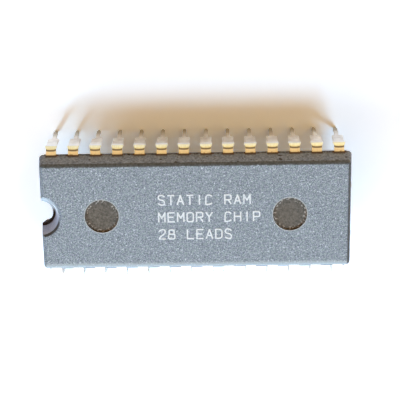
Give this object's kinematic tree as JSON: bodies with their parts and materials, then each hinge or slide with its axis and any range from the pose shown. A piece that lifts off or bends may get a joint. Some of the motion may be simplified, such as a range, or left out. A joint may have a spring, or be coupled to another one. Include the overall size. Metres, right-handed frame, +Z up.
{
  "type": "static memory chip",
  "caption": "Plastic dual in-line memory chip with an index notch in one end and two rows of bent pins that plug into a socket or are soldered into a board.",
  "frame": {"origin": "Below the middle of the body, in the plane that the lead tips stand on.", "axes": "+X along the body, away from the end with the index notch; +Y across the body, from the row of lead 1 to the other row; +Z up, out of the top face."},
  "size_m": [0.036, 0.0168, 0.0077],
  "materials": {
    "moulding": "matte",
    "lead_finish": "satin",
    "frame_metal": "satin",
    "adhesive": "matte",
    "silicon": "gloss",
    "wire_gold": "satin"
  },
  "bodies": {
    "root": {"package_body": "moulding", "lead_01": "lead_finish", "lead_02": "lead_finish", "lead_03": "lead_finish", "lead_04": "lead_finish", "lead_05": "lead_finish", "lead_06": "lead_finish", "lead_07": "lead_finish", "lead_08": "lead_finish", "lead_09": "lead_finish", "lead_10": "lead_finish", "lead_11": "lead_finish", "lead_12": "lead_finish", "lead_13": "lead_finish", "lead_14": "lead_finish", "lead_15": "lead_finish", "lead_16": "lead_finish", "lead_17": "lead_finish", "lead_18": "lead_finish", "lead_19": "lead_finish", "lead_20": "lead_finish", "lead_21": "lead_finish", "lead_22": "lead_finish", "lead_23": "lead_finish", "lead_24": "lead_finish", "lead_25": "lead_finish", "lead_26": "lead_finish", "lead_27": "lead_finish", "lead_28": "lead_finish", "die_paddle": "frame_metal", "die_attach": "adhesive", "memory_die": "silicon", "bond_wire_01": "wire_gold", "bond_wire_02": "wire_gold", "bond_wire_03": "wire_gold", "bond_wire_04": "wire_gold", "bond_wire_05": "wire_gold", "bond_wire_06": "wire_gold", "bond_wire_07": "wire_gold", "bond_wire_08": "wire_gold", "bond_wire_09": "wire_gold", "bond_wire_10": "wire_gold", "bond_wire_11": "wire_gold", "bond_wire_12": "wire_gold", "bond_wire_13": "wire_gold", "bond_wire_14": "wire_gold", "bond_wire_15": "wire_gold", "bond_wire_16": "wire_gold", "bond_wire_17": "wire_gold", "bond_wire_18": "wire_gold", "bond_wire_19": "wire_gold", "bond_wire_20": "wire_gold", "bond_wire_21": "wire_gold", "bond_wire_22": "wire_gold", "bond_wire_23": "wire_gold", "bond_wire_24": "wire_gold", "bond_wire_25": "wire_gold", "bond_wire_26": "wire_gold", "bond_wire_27": "wire_gold", "bond_wire_28": "wire_gold"}
  },
  "joints": []
}
